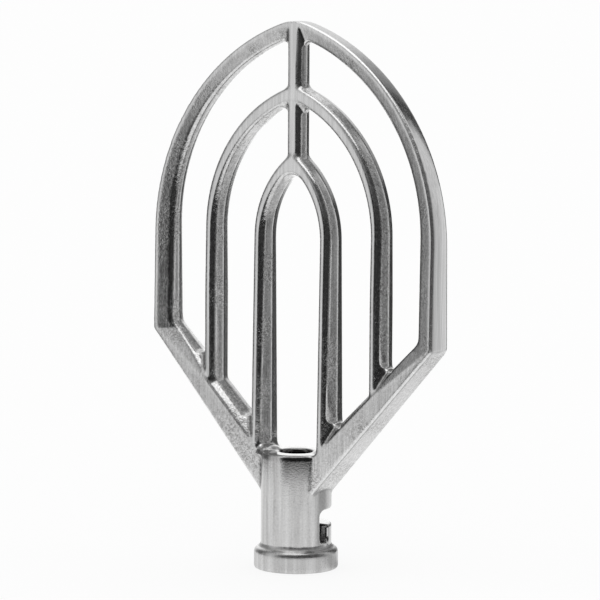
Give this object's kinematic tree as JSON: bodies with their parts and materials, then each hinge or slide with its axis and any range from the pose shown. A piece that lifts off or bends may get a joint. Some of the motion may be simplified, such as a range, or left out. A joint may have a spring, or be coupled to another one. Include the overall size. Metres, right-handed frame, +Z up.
{
  "type": "flat beater",
  "caption": "Flat beater for a planetary mixer: an arched open blade with nested ribs on a bored bayonet hub, standing upside down on its collar.",
  "frame": {"origin": "centre of the collar's end face, which the beater stands on", "axes": "+Z up along the hub axis to the tip, +X across the blade, -Y out of the front face"},
  "size_m": [0.205, 0.051, 0.33],
  "materials": {
    "cast_blade": "tumbled casting with ground lands",
    "machined_hub": "turned and polished"
  },
  "bodies": {
    "root": {"arm_right": "cast_blade", "arm_left": "cast_blade", "bar_right": "cast_blade", "bar_left": "cast_blade", "arch_right": "cast_blade", "arch_left": "cast_blade", "tip": "cast_blade", "spine": "cast_blade", "hoop_right": "cast_blade", "hoop_left": "cast_blade", "loop_right": "cast_blade", "loop_left": "cast_blade", "hub_collar": "machined_hub", "hub_barrel": "machined_hub"}
  },
  "joints": []
}
